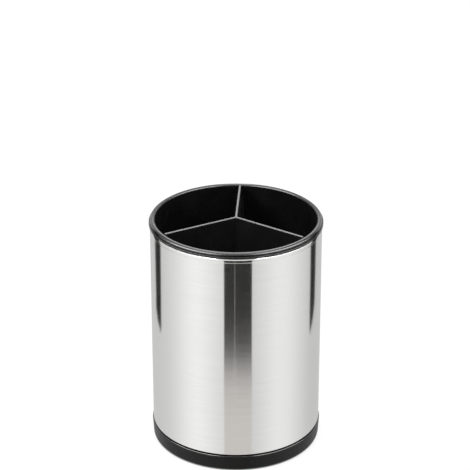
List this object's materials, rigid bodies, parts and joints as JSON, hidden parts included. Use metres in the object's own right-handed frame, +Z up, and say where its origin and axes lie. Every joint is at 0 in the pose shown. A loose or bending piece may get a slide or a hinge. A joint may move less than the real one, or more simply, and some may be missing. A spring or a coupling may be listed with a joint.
{
  "type": "utensil crock",
  "caption": "Round brushed-steel utensil crock with black rim and turntable base; a lift-out liner and lift-out Y divider part its inside into compartments.",
  "frame": {"origin": "centre of the circle that the crock stands on, at the underside of the non-slip ring", "axes": "+Z up along the tube's axis, -Y towards the front compartment, +Y along the divider's rear wall"},
  "size_m": [0.1277, 0.1276, 0.1775],
  "materials": {
    "base_plastic": "black ABS, fine moulded grain, semi-gloss",
    "foot_rubber": "soft black rubber",
    "ballast_steel": "plain grey",
    "screw_steel": "zinc plated",
    "cage_nylon": "natural nylon",
    "ball_steel": "polished",
    "plate_plastic": "black ABS",
    "sleeve_steel": "stainless steel brushed round the tube",
    "rim_plastic": "black ABS, semi-gloss",
    "liner_plastic": "black polypropylene, satin inside, smooth flange",
    "divider_plastic": "black polypropylene, satin"
  },
  "bodies": {
    "base": {"base_housing": "base_plastic", "non_slip_ring": "foot_rubber", "ballast_ring": "ballast_steel", "pivot_screw": "screw_steel", "pivot_washer": "screw_steel"},
    "bearing": {"ball_cage": "cage_nylon", "bearing_balls": "ball_steel"},
    "crock": {"turntable_plate": "plate_plastic", "steel_sleeve": "sleeve_steel", "trim_ring": "rim_plastic"},
    "liner": {"liner_cup": "liner_plastic"},
    "divider": {"divider": "divider_plastic"}
  },
  "joints": [
    {"name": "crock_turn", "type": "hinge", "parent": "base", "child": "crock", "pos_m": [0, 0, 0.0072], "axis": [0, 0, 1], "continuous": true},
    {"name": "cage_turn", "type": "hinge", "parent": "base", "child": "bearing", "pos_m": [0, 0, 0.007], "axis": [0, 0, 1], "continuous": true},
    {"name": "liner_lift", "type": "slide", "parent": "crock", "child": "liner", "axis": [0, 0, 1], "range_m": [0, 0.16]},
    {"name": "divider_lift", "type": "slide", "parent": "liner", "child": "divider", "axis": [0, 0, 1], "range_m": [0, 0.158]}
  ],
  "couplings": [
    {"joint": "cage_turn", "follows": "crock_turn", "ratio": 0.5}
  ]
}
